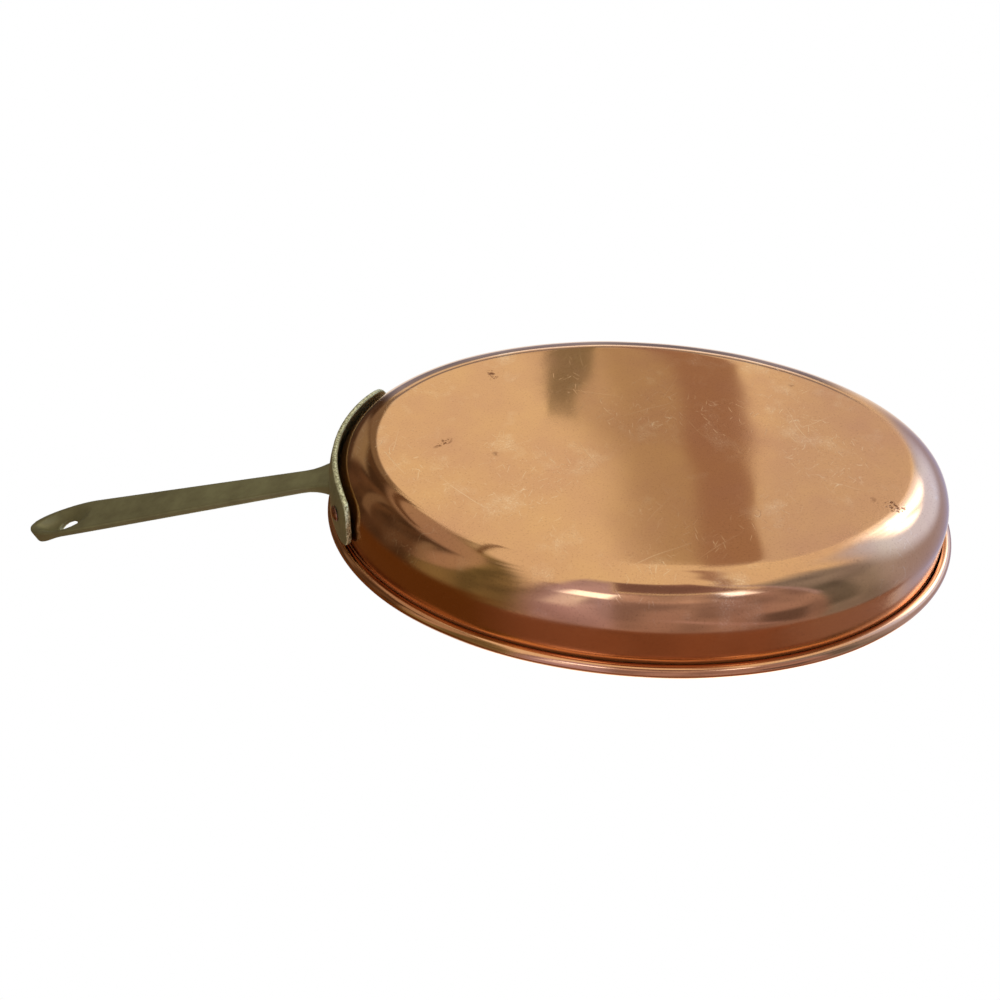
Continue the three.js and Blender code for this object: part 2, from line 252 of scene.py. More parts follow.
def oval_sweep():
    """Sweeps a section round an oval outline and joins it up into one closed skin.

    The section is a row of points: x is how far inside the outline, y the share of the way out
    from the middle, and z the height.
    """
    tree, given = tree_with("oval_sweep", [
        ("Length", "NodeSocketFloat"),
        ("Width", "NodeSocketFloat"),
        ("Oval power", "NodeSocketFloat"),
        ("Steps", "NodeSocketInt"),
        ("Dent depth", "NodeSocketFloat"),
        ("Dent size", "NodeSocketFloat"),
        ("Material", "NodeSocketMaterial"),
    ])
    grid, _, angle, section = section_grid(tree, given["Geometry"], given["Steps"])
    cosine = add(tree, NUMBER, {0: angle}, operation="COSINE")
    sine = add(tree, NUMBER, {0: angle}, operation="SINE")
    circle = add(tree, "ShaderNodeCombineXYZ", {0: cosine, 1: sine})
    half = add(tree, "ShaderNodeCombineXYZ", {0: given["Length"], 1: given["Width"], 2: 1.0})
    half = add(tree, VECTOR, {0: half, "Scale": 0.5}, operation="SCALE")
    outline_power = add(tree, NUMBER, {0: 2.0, 1: given["Oval power"]}, operation="DIVIDE")
    normal_power = add(tree, NUMBER, {0: given["Oval power"], 1: 1.0}, operation="SUBTRACT")
    unit = signed_power(tree, circle, outline_power)
    outline = add(tree, VECTOR, {0: unit, 1: half}, operation="MULTIPLY")
    slope = signed_power(tree, unit, normal_power)
    slope = add(tree, VECTOR, {0: slope, 1: half}, operation="DIVIDE")
    sideways = add(tree, VECTOR, {0: slope}, operation="NORMALIZE")
    inset = add(tree, VECTOR, {0: sideways, "Scale": section["X"]}, operation="SCALE")
    ring = add(tree, VECTOR, {0: outline, 1: inset}, operation="SUBTRACT")
    ring = add(tree, VECTOR, {0: ring, "Scale": section["Y"]}, operation="SCALE")
    flat = add(tree, "ShaderNodeSeparateXYZ", {0: ring}).outputs
    point = add(tree, "ShaderNodeCombineXYZ", {0: flat["X"], 1: flat["Y"], 2: section["Z"]})
    skin = add(tree, "GeometryNodeSetPosition", {"Geometry": grid, "Position": point})
    joined = add(tree, "GeometryNodeMergeByDistance", {"Geometry": skin, "Distance": WELD_DISTANCE})
    skin = dented(tree, joined, given["Dent depth"], given["Dent size"])
    smooth = add(tree, "GeometryNodeSetShadeSmooth", {"Geometry": skin})
    real = add(tree, "GeometryNodeRealizeInstances", {"Geometry": smooth})
    painted = add(tree, "GeometryNodeSetMaterial", {
        "Geometry": real, "Material": given["Material"],
    })
    add(tree, "NodeGroupOutput", {0: painted})
    return tree


def swept(name, rows, pan, material, dent_depth):
    source = section_object(name, rows)
    run_tree(source, oval_sweep(), {
        "Length": pan.length,
        "Width": pan.width,
        "Oval power": pan.oval_power,
        "Steps": pan.steps,
        "Dent depth": dent_depth,
        "Dent size": pan.dent_size,
        "Material": material,
    })
    made = baked(source, name)
    outward(made)
    return made


def outward(piece):
    """Turns the faces of a closed piece outwards."""
    shape = bmesh.new()
    shape.from_mesh(piece.data)
    bmesh.ops.recalc_face_normals(shape, faces=shape.faces)
    shape.to_mesh(piece.data)
    shape.free()


# Materials


def new_material(name):
    material = bpy.data.materials.new(name)
    material.use_nodes = True
    tree = material.node_tree
    tree.nodes.clear()
    place = add(tree, "ShaderNodeTexCoord").outputs["Object"]
    return material, tree, place


def shaded(tree, base, roughness, normal, metallic=1.0):
    """Ends the tree of a metal with its shader."""
    shader = add(tree, "ShaderNodeBsdfPrincipled", {
        "Base Color": base, "Roughness": roughness, "Metallic": metallic, "Normal": normal,
    })
    add(tree, "ShaderNodeOutputMaterial", {"Surface": shader})


def layered(tree, colour_below, *layers):
    """Lays colours over a first one, each where its mask is 1. A layer is (mask, colour)."""
    share, below, above, result = 0, 6, 7, 2
    for mask, colour_above in layers:
        mix = add(tree, "ShaderNodeMix", {
            share: mask, below: colour_below, above: colour_above,
        }, data_type="RGBA")
        colour_below = mix.outputs[result]
    return colour_below


def patches(tree, place, size, low, high, detail=2.0, roughness=0.5, strength=(0.0, 1.0)):
    """Soft irregular patches as a mask, from its first strength at a low noise to its second."""
    noise = add(tree, "ShaderNodeTexNoise", {
        "Vector": place, "Scale": 1 / size, "Detail": detail, "Roughness": roughness,
    })
    return add(tree, "ShaderNodeMapRange", {
        "Value": noise, "From Min": low, "From Max": high,
        "To Min": strength[0], "To Max": strength[1],
    })


def dots(tree, place, size, core, edge):
    """Scattered round dots as a mask, solid in the core of each cell and gone at its edge."""
    cells = add(tree, "ShaderNodeTexVoronoi", {"Vector": place, "Scale": 1 / size})
    return add(tree, "ShaderNodeMapRange", {
        "Value": cells, "From Min": core, "From Max": edge, "To Min": 1.0, "To Max": 0.0,
    })


def line_at(tree, value, middle, core, edge):
    """Line where a value comes near its middle, as a mask, solid up to the core."""
    away = add(tree, NUMBER, {0: value, 1: middle}, operation="SUBTRACT")
    away = add(tree, NUMBER, {0: away}, operation="ABSOLUTE")
    return add(tree, "ShaderNodeMapRange", {
        "Value": away, "From Min": core, "From Max": edge, "To Min": 1.0, "To Max": 0.0,
    })


def scratches(tree, place, spacing, width, share, bend):
    """Fine scratches, one or none to each patch of the surface, as a 0 to 1 mask.

    The share is that of the patches that have one, and bend how far they wander off straight. Real
    ones are a few hundredths of a millimetre wide, too fine to show, so they are drawn wider.
    """
    fade_start, fade_end = 0.35, 0.8
    wander = add(tree, "ShaderNodeTexNoise", {
        "Vector": place, "Scale": 1 / spacing, "Detail": 1.0,
    }).outputs["Color"]
    wander = add(tree, VECTOR, {0: wander, "Scale": bend}, operation="SCALE")
    bent = add(tree, VECTOR, {0: place, 1: wander}, operation="ADD")
    cells = add(tree, "ShaderNodeTexVoronoi", {"Vector": bent, "Scale": 1 / spacing}).outputs
    offset = add(tree, VECTOR, {0: bent, 1: cells["Position"]}, operation="SUBTRACT")
    facing = add(tree, VECTOR, {0: cells["Color"], 1: (0.5, 0.5, 0.5)}, operation="SUBTRACT")
    facing = add(tree, VECTOR, {0: facing}, operation="NORMALIZE")
    away = add(tree, VECTOR, {0: offset, 1: facing}, operation="DOT_PRODUCT").outputs["Value"]
    line = line_at(tree, away, middle=0.0, core=0.0, edge=width)
    ends = add(tree, "ShaderNodeMapRange", {
        "Value": cells["Distance"], "From Min": fade_start, "From Max": fade_end,
        "To Min": 1.0, "To Max": 0.0,
    })
    chance = add(tree, "ShaderNodeSeparateXYZ", {0: cells["Color"]})
    there = add(tree, NUMBER, {0: chance, 1: share}, operation="LESS_THAN")
    mask = add(tree, NUMBER, {0: line, 1: ends}, operation="MULTIPLY")
    return add(tree, NUMBER, {0: mask, 1: there}, operation="MULTIPLY")


def worn_lines(tree, place, spacing, width):
    """Thin wandering lines of wear in short broken pieces, as a mask, drawn wider than real."""
    contour = add(tree, "ShaderNodeTexNoise", {
        "Vector": place, "Scale": 1 / spacing, "Detail": 2.0, "Roughness": 0.45,
    })
    line = line_at(tree, contour, middle=0.5, core=0.0, edge=width / spacing)
    pieces = patches(tree, place, size=spacing / 3, low=0.5, high=0.62, detail=3.0, roughness=0.7)
    return add(tree, NUMBER, {0: line, 1: pieces}, operation="MULTIPLY")


def copper_wear(tree, place, level):
    """Pale marks of use, strongest on the base: a mask of the scratches, and one of all of it.

    The rubbed patches are made of flecks. Real ones are too fine to show, so they are drawn coarser.
    """
    corner_start, corner_end, left_on_wall = 12 * MM, 24 * MM, 0.15
    strength = 0.62
    worn = patches(tree, place, size=55 * MM, low=0.47, high=0.6)
    faint = add(tree, NUMBER, {0: worn, 1: 0.7, 2: 0.08}, operation="MULTIPLY_ADD")
    lines = 0.0
    for kind, amount in (
        (scratches(tree, place, spacing=30 * MM, width=0.16 * MM, share=0.5, bend=4 * MM), faint),
        (worn_lines(tree, place, spacing=17 * MM, width=0.13 * MM), worn),
        (scratches(tree, place, spacing=4 * MM, width=0.18 * MM, share=0.3, bend=0.6 * MM), faint),
    ):
        kind = add(tree, NUMBER, {0: kind, 1: amount}, operation="MULTIPLY")
        lines = add(tree, NUMBER, {0: lines, 1: kind}, operation="MAXIMUM")
    low = add(tree, "ShaderNodeMapRange", {
        "Value": level, "From Min": corner_start, "From Max": corner_end,
        "To Min": 1.0, "To Max": left_on_wall,
    })
    fleck = patches(
        tree, place, size=0.8 * MM, low=0.5, high=0.68, roughness=0.7, strength=(0.25, 1.0))
    rub = patches(tree, place, size=26 * MM, low=0.56, high=0.72, detail=3.0, roughness=0.6)
    nicks = dots(tree, place, size=1.2 * MM, core=0.12, edge=0.22)
    nicks = add(tree, NUMBER, {0: nicks, 1: worn}, operation="MULTIPLY")
    rub = add(tree, NUMBER, {0: rub, 1: nicks}, operation="MAXIMUM")
    rub = add(tree, NUMBER, {0: rub, 1: fleck}, operation="MULTIPLY")
    pale = add(tree, NUMBER, {0: lines, 1: rub}, operation="MAXIMUM")
    pale = add(tree, NUMBER, {0: pale, 1: low}, operation="MULTIPLY")
    pale = add(tree, NUMBER, {0: pale, 1: strength}, operation="MULTIPLY")
    return add(tree, NUMBER, {0: lines, 1: low}, operation="MULTIPLY"), pale


def copper_stains(tree, place, level):
    """Mask of the few clusters of dark pits and blots on the base."""
    cluster_size, base_top, corner_top = 20 * MM, 6 * MM, 10 * MM
    spots = add(tree, "ShaderNodeTexNoise", {
        "Vector": place, "W": 1.7, "Scale": 1 / cluster_size, "Detail": 1.0,
    }, noise_dimensions="4D")
    spots = add(tree, "ShaderNodeMapRange", {"Value": spots, "From Min": 0.695, "From Max": 0.735})
    flat = add(tree, "ShaderNodeMapRange", {
        "Value": level, "From Min": base_top, "From Max": corner_top, "To Min": 1.0, "To Max": 0.0,
    })
    spots = add(tree, NUMBER, {0: spots, 1: flat}, operation="MULTIPLY")
    marks = add(tree, NUMBER, {
        0: dots(tree, place, size=1.6 * MM, core=0.18, edge=0.34),
        1: patches(tree, place, size=3.2 * MM, low=0.5, high=0.56, detail=3.0, roughness=0.65),
    }, operation="MAXIMUM")
    return add(tree, NUMBER, {0: marks, 1: spots}, operation="MULTIPLY")


def painted_crease_light(tree, level):
    """Mask of the crease under the rolled rim, wall side, for its painted shade and bounced glow."""
    rim_facing, wall_facing = -0.45, -0.2
    line = line_at(tree, level, middle=37 * MM, core=0.6 * MM, edge=1.6 * MM)
    normal = add(tree, "ShaderNodeNewGeometry").outputs["Normal"]
    rise = add(tree, "ShaderNodeSeparateXYZ", {0: normal}).outputs["Z"]
    on_wall = add(tree, "ShaderNodeMapRange", {
        "Value": rise, "From Min": rim_facing, "From Max": wall_facing,
    })
    return add(tree, NUMBER, {0: line, 1: on_wall}, operation="MULTIPLY")


def polished_copper(finish):
    """Sheet copper, pressed and buffed: a mirror that goes rosy in clouds and brown up the wall.

    Use gives it pale scratches, rubbed patches and a few dark stains on the base, and a rim that
    hands have rubbed bright. In the crease under the rim, a thin orange-brown line is painted
    shade and the glow of light bouncing between wall and rim.
    """
    material, tree, place = new_material("polished_copper")
    cloud_size, bloom_start, bloom_full, bloom_waver = 38 * MM, 6 * MM, 30 * MM, 10 * MM
    rubbed_start, rubbed_full, rubbed_share = 33.2 * MM, 35.2 * MM, 0.85
    level = add(tree, "ShaderNodeSeparateXYZ", {0: place}).outputs["Z"]
    cloud = add(tree, "ShaderNodeTexNoise", {
        "Vector": place, "Scale": 1 / cloud_size, "Detail": 3.0, "Roughness": 0.6,
    })
    rosy = add(tree, "ShaderNodeMapRange", {"Value": cloud, "From Min": 0.3, "From Max": 0.8})
    handled = add(tree, "ShaderNodeMapRange", {
        "Value": level, "From Min": rubbed_start, "From Max": rubbed_full,
        "To Min": 0.0, "To Max": rubbed_share,
    })
    wavy = add(tree, NUMBER, {0: cloud, 1: bloom_waver, 2: level}, operation="MULTIPLY_ADD")
    bloom = add(tree, "ShaderNodeMapRange", {
        "Value": wavy, "From Min": bloom_start, "From Max": bloom_full,
    }, interpolation_type="SMOOTHSTEP")
    kept = add(tree, NUMBER, {0: 1.0, 1: handled}, operation="SUBTRACT")
    bloom = add(tree, NUMBER, {0: bloom, 1: kept}, operation="MULTIPLY")
    lines, pale = copper_wear(tree, place, level)
    stains = copper_stains(tree, place, level)
    # The grain of the sheet is too fine to show, so it is drawn coarser than it is
    grain = patches(
        tree, place, size=0.9 * MM, low=0.55, high=0.8, roughness=0.7, strength=(0.0, 0.35))
    dark = add(tree, NUMBER, {0: stains, 1: grain}, operation="MAXIMUM")
    # Painted shade and bounced glow along the crease under the rolled rim
    crease = painted_crease_light(tree, level)
    base = layered(
        tree, finish.copper, (rosy, finish.copper_rosy), (handled, finish.copper_rubbed),
        (bloom, finish.copper_bloom), (pale, finish.copper_scratch), (dark, finish.copper_pit),
        (crease, finish.painted_crease_light))
    rough = add(tree, "ShaderNodeMapRange", {
        "Value": cloud, "From Min": 0.3, "From Max": 0.75, "To Min": 0.05, "To Max": 0.12,
    })
    for mask, amount in ((lines, 0.12), (bloom, 0.1), (crease, 0.2)):
        rough = add(tree, NUMBER, {0: mask, 1: amount, 2: rough}, operation="MULTIPLY_ADD")
    # Less metal in the crease, so that its painted shade and glow show
    bare = add(tree, NUMBER, {0: crease, 1: -0.5, 2: 1.0}, operation="MULTIPLY_ADD")
    relief = add(tree, NUMBER, {0: stains, 1: 2.0, 2: lines}, operation="MULTIPLY_ADD")
    bump = add(tree, "ShaderNodeBump", {
        "Strength": 0.35, "Distance": 0.03 * MM, "Height": relief,
    }, invert=True)
    shaded(tree, base, rough, bump, bare)
    return material


def wiped_tin(finish):
    """Molten tin wiped over the inside of the pan: grey, satin, with the streaks of the wipe."""
    material, tree, place = new_material("wiped_tin")
    streak_width, streak_stretch = 5 * MM, 0.12
    along = add(tree, "ShaderNodeMapping", {"Vector": place, "Scale": (streak_stretch, 1.0, 1.0)})
    streak = add(tree, "ShaderNodeTexNoise", {
        "Vector": along, "Scale": 1 / streak_width, "Detail": 4.0, "Distortion": 0.6,
    })
    dull = patches(tree, place, size=40 * MM, low=0.42, high=0.7, detail=3.0)
    lines = scratches(tree, place, spacing=18 * MM, width=0.2 * MM, share=0.7, bend=2 * MM)
    base = layered(tree, finish.tin, (dull, finish.tin_dull), (lines, finish.tin_scratch))
    rough = add(tree, "ShaderNodeMapRange", {
        "Value": streak, "From Min": 0.3, "From Max": 0.7, "To Min": 0.34, "To Max": 0.48,
    })
    relief = add(tree, NUMBER, {0: lines, 1: -0.4, 2: streak}, operation="MULTIPLY_ADD")
    bump = add(tree, "ShaderNodeBump", {"Strength": 0.3, "Distance": 0.05 * MM, "Height": relief})
    shaded(tree, base, rough, bump, 0.8)
    return material


def cast_brass(finish):
    """Sand-cast brass, left dull and gone olive, with its narrow edges ground bright.

    The marks of sand and file are too fine to show, so they are drawn coarser than they are.
    """
    material, tree, place = new_material("cast_brass")
    sand_grain = 0.9 * MM
    cloud = patches(tree, place, size=14 * MM, low=0.35, high=0.7, detail=4.0, roughness=0.6)
    filed = patches(tree, place, size=1.3 * MM, low=0.4, high=0.56, detail=3.0, roughness=0.7)
    ground = add(tree, "ShaderNodeAttribute", attribute_name="ground").outputs["Fac"]
    bare = add(tree, NUMBER, {0: ground, 1: filed}, operation="MULTIPLY")
    base = layered(tree, finish.brass, (cloud, finish.brass_dark), (bare, finish.brass_ground))
    sand = add(tree, "ShaderNodeTexNoise", {
        "Vector": place, "Scale": 1 / sand_grain, "Detail": 2.0,
    })
    lines = scratches(tree, place, spacing=11 * MM, width=0.16 * MM, share=0.6, bend=1 * MM)
    rough = add(tree, "ShaderNodeMapRange", {"Value": cloud, "To Min": 0.36, "To Max": 0.52})
    relief = add(tree, NUMBER, {0: lines, 1: -0.6, 2: sand}, operation="MULTIPLY_ADD")
    bump = add(tree, "ShaderNodeBump", {"Strength": 0.4, "Distance": 0.12 * MM, "Height": relief})
    shaded(tree, base, rough, bump, 0.75)
    return material


def hammered_copper(finish):
    """Copper rivet heads, set with a hammer: small soft facets, browned in the low places."""
    material, tree, place = new_material("hammered_copper")
    facet_width = 2.2 * MM
    facet = add(tree, "ShaderNodeTexVoronoi", {
        "Vector": place, "Scale": 1 / facet_width, "Smoothness": 0.6,
    }, feature="SMOOTH_F1")
    low = add(tree, "ShaderNodeMapRange", {"Value": facet, "From Min": 0.3, "From Max": 0.7})
    base = layered(tree, finish.rivet, (low, finish.rivet_brown))
    rough = add(tree, "ShaderNodeMapRange", {
        "Value": facet, "From Min": 0.1, "From Max": 0.8, "To Min": 0.2, "To Max": 0.38,
    })
    bump = add(tree, "ShaderNodeBump", {"Strength": 0.5, "Distance": 0.25 * MM, "Height": facet})
    shaded(tree, base, rough, bump)
    return material


def drawn_wire(finish):
    """Plain steel wire, drawn through a die: grey, with a fine grain, hidden in the rolled rim.

    The marks of the die are too fine to show, so they are drawn coarser than they are.
    """
    material, tree, place = new_material("drawn_wire")
    grain_size = 1.5 * MM
    grain = add(tree, "ShaderNodeTexNoise", {
        "Vector": place, "Scale": 1 / grain_size, "Detail": 2.0,
    })
    base = layered(tree, finish.wire, (grain, finish.wire_dark))
    bump = add(tree, "ShaderNodeBump", {"Strength": 0.2, "Distance": 0.05 * MM, "Height": grain})
    shaded(tree, base, 0.45, bump)
    return material


# Sizes and colours that a user would change


def measure(name, description, default, precision=4):
    return bpy.props.FloatProperty(
        name=name, description=description, default=default, unit="LENGTH", precision=precision)


class PanSizes(bpy.types.PropertyGroup):
    length: measure("Length", "Over the rolled rim, along the handle", SHELL_SIZE.x)
    width: measure("Width", "Over the rolled rim, across the handle", SHELL_SIZE.y)
    height: measure("Height", "From the table to the top of the rolled rim", 43 * MM)
    oval_power: bpy.props.FloatProperty(
        name="Fullness", description="2 is an ellipse, more is a fuller oval", default=2.04)
    copper: measure("Copper", "Thickness of the copper sheet", 1.2 * MM)
    corner_radius: measure("Corner", "Outside radius between base and wall", 22.5 * MM)
    wall_lean: bpy.props.FloatProperty(
        name="Lean", description="Outward lean of the wall", default=0.067, unit="ROTATION")
    bead_radius: measure("Rolled rim", "Outside radius of the rolled rim", 3.25 * MM)
    lining: measure("Tin", "Thickness of the tin lining", 0.4 * MM)
    fit_gap: measure("Gap", "Clearance between touching pieces", 0.3 * MM)
    dent_depth: measure("Dent depth", "Depth of the shallow dents of the sheet", 0.3 * MM, 5)
    dent_size: measure("Dent size", "Distance from one dent to the next", 60 * MM)
    steps: bpy.props.IntProperty(
        name="Steps", description="Number of steps round the oval", default=360, min=24)


class RivetSizes(bpy.types.PropertyGroup):
    head_width: measure("Head", "Width of a head on the handle", 7.6 * MM)
    head_height: measure("Head height", "Rise of a head on the handle", 1.6 * MM)
    inner_width: measure("Inner head", "Width of a head inside the pan", 8.8 * MM)
    inner_height: measure("Inner head height", "Rise of a head inside the pan", 1.1 * MM)
    shank_width: measure("Shank", "Width of the shank", 4.5 * MM)


class HandleSizes(bpy.types.PropertyGroup):
    grain: measure("Grain", "Size of the cells that the casting is remade from", 0.5 * MM, 5)
    softening: bpy.props.IntProperty(
        name="Softening", description="How often the edges of the casting are eased",
        default=6, min=0)


def tint(name, description, hex_code):
    return bpy.props.FloatVectorProperty(
        name=name, description=description, subtype="COLOR", size=4, min=0.0, max=1.0,
        default=colour(hex_code))


class Finishes(bpy.types.PropertyGroup):
    copper: tint("Copper", "Polished sheet copper of the base", "#dba870")
    copper_rosy: tint("Rosy copper", "Clouds where the polish has gone rosy", "#cd986e")
    copper_bloom: tint("Browned copper", "Wall below the rim, browned by heat", "#cf9460")
    copper_rubbed: tint("Rubbed copper", "Rolled rim, rubbed bright by hands", "#dfa473")
    # Painted light: the crease colour is painted shade and the orange glow of light bouncing between
    # wall and rim
    painted_crease_light: tint("Crease", "Brown tarnish in the crease under the rolled rim", "#b0602f")
    copper_scratch: tint("Scratched copper", "Fine scratches in the copper", "#f8dcb0")
    copper_pit: tint("Pitted copper", "Small dark pits in the copper", "#7d5233")
    tin: tint("Tin", "Wiped tin", "#cfcfca")
    tin_dull: tint("Dull tin", "Clouds of darker tin", "#b3b2ab")
    tin_scratch: tint("Scratched tin", "Fine scratches in the tin", "#dedfdd")
    brass: tint("Brass", "Dull face of the cast handle", "#989266")
    brass_dark: tint("Dark brass", "Clouds of darker brass", "#827a52")
    brass_ground: tint("Ground brass", "Bright narrow edges of the handle", "#ebe6b4")
    rivet: tint("Rivet", "Raised parts of a rivet head", "#c08a6c")
    rivet_brown: tint("Browned rivet", "Low parts of a rivet head", "#7f553f")
    wire: tint("Wire", "Wire in the rolled rim", "#8a8884")
    wire_dark: tint("Dark wire", "Darker grain of the wire", "#6a6864")
    floor: tint("Floor", "Plain floor under the pan", "#f2f1ef")


class PanScene(bpy.types.PropertyGroup):
    pan: bpy.props.PointerProperty(type=PanSizes)
    rivets: bpy.props.PointerProperty(type=RivetSizes)
    handle: bpy.props.PointerProperty(type=HandleSizes)
    finish: bpy.props.PointerProperty(type=Finishes)


# Pieces


def settings(context):
    return context.scene.gratin_pan


class GRATIN_OT_copper_shell(bpy.types.Operator):
    """Sweeps the copper shell with its rolled rim round the oval"""

    bl_idname = "gratin.copper_shell"
    bl_label = "Copper shell"

    def execute(self, context):
        given = settings(context)
        copper = polished_copper(given.finish)
        rows = PanSection(given.pan).shell()
        shell = swept("copper_shell", rows, given.pan, copper, given.pan.dent_depth)
        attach(shell, "root")
        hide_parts("pan_shell")
        return {"FINISHED"}


class GRATIN_OT_tin_skin(bpy.types.Operator):
    """Sweeps the tin lining round the inside of the shell"""

    bl_idname = "gratin.tin_skin"
    bl_label = "Tin lining"

    def execute(self, context):
        given = settings(context)
        rows = PanSection(given.pan).lining()
        skin = swept("tin_skin", rows, given.pan, wiped_tin(given.finish), 0.0)
        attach(skin, "root")
        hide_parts("tin_lining")
        return {"FINISHED"}


class GRATIN_OT_rim_wire(bpy.types.Operator):
    """Gives the wire in the rolled rim its finish"""

    bl_idname = "gratin.rim_wire"
    bl_label = "Rim wire"

    def execute(self, context):
        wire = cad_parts["rim_wire"]
        for slot in wire.material_slots:
            slot.material = drawn_wire(settings(context).finish)
        return {"FINISHED"}


def merged_copy(node, name):
    """Copy of a CAD node with its loose triangles joined up."""
    same_place = 0.001 * MM
    shape = bmesh.new()
    shape.from_mesh(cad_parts[node].data)
    bmesh.ops.remove_doubles(shape, verts=shape.verts, dist=same_place)
    mesh = bpy.data.meshes.new(name)
    shape.to_mesh(mesh)
    shape.free()
    mesh.materials.clear()
    return placed(name, mesh)


class GRATIN_OT_brass_handle(bpy.types.Operator):
    """Makes the cast handle and its flange, with the soft edges of a casting"""

    bl_idname = "gratin.brass_handle"
    bl_label = "Brass handle"

    def execute(self, context):
        given = settings(context)
        rough = merged_copy("handle", "brass_handle")
        remesh = rough.modifiers.new("casting", "REMESH")
        remesh.mode = "VOXEL"
        remesh.voxel_size = given.handle.grain
        remesh.use_smooth_shade = True
        ease = rough.modifiers.new("eased edges", "SMOOTH")
        ease.iterations = given.handle.softening
        handle = baked(rough, "brass_handle")
        handle.data.materials.clear()
        handle.data.materials.append(cast_brass(given.finish))
        mark_ground_edges(handle)
        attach(handle, "root")
        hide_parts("handle")
        return {"FINISHED"}


def mark_ground_edges(handle):
    """Marks the narrow edge all round the flange, which is filed clean after casting.

    The edge faces neither straight out from the pan, as the front does, nor straight in.
    """
    flange_start = SHELL_LOW.x - 6 * MM
    bar_half_width, bar_underside = 14 * MM, 24 * MM
    front_facing, back_facing, fade = 0.75, -0.35, 0.15
    marks = []
    for vertex in handle.data.vertices:
        place = vertex.co
        on_bar = abs(place.y) < bar_half_width and place.z > bar_underside
        out = Vector((place.x / SHELL_SIZE.x ** 2, place.y / SHELL_SIZE.y ** 2, 0)).normalized()
        facing = vertex.normal.dot(out)
        edge = max(0, min(1, (front_facing - facing) / fade, (facing - back_facing) / fade))
        marks.append(0 if on_bar or place.x <= flange_start else edge)
    store(handle, "ground", marks)


class GRATIN_OT_rivets(bpy.types.Operator):
    """Sets the copper rivets through the flange and the end of the pan"""

    bl_idname = "gratin.rivets"
    bl_label = "Rivets"

    def execute(self, context):
        given = settings(context)
        places = [rivet_place(node) for node in RIVET_NODES]
        source = mesh_object("set_rivets", [start for start, _, _ in places])
        store(source, "inward", [inward for _, inward, _ in places])
        store(source, "grip", [length for _, _, length in places])
        outline = section_object("rivet_section", rivet_section(given.rivets))
        run_tree(source, set_rivets(outline), {
            "Outer material": hammered_copper(given.finish),
            "Inner material": bpy.data.materials["wiped_tin"],
        })
        rivets = baked(source, "set_rivets")
        bpy.data.objects.remove(outline)
        outward(rivets)
        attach(rivets, "root")
        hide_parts(*RIVET_NODES)
        return {"FINISHED"}


def rivet_place(node):
    """Outer end of a rivet, its direction into the pan, and its length, from its solid."""
    decimals = 6
    points = np.array([v.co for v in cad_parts[node].data.vertices])
    points = np.unique(np.round(points, decimals), axis=0)
    middle = points.mean(axis=0)
    spread, axes = np.linalg.eigh(np.cov((points - middle).T))
    # The rivet's own axis is the one whose spread stands apart from the other two
    lone = 0 if spread[1] - spread[0] > spread[2] - spread[1] else 2
    inward = Vector(axes[:, lone])
    if inward.x < 0:
        inward.negate()
    along = (points - middle) @ np.array(inward)
    start = Vector(middle) + inward * float(along.min())
    return start, inward, float(along.max() - along.min())


def rivet_section(rivet):
    """Half outline of a rivet as (0, radius, depth), with its inner head from depth 0 back."""
    dome_rows = 9
    shank = rivet.shank_width / 2
    sides = []
    for radius, rise in (
        (rivet.head_width / 2, rivet.head_height), (rivet.inner_width / 2, -rivet.inner_height),
    ):
        turns = (0.5 * math.pi * i / dome_rows for i in range(dome_rows + 1))
        dome = [(0.0, radius * math.sin(t), rise * (1 - math.cos(t))) for t in turns]
        sides.append([*dome, (0.0, shank, rise)])
    outer, inner = sides
    return outer + inner[::-1]


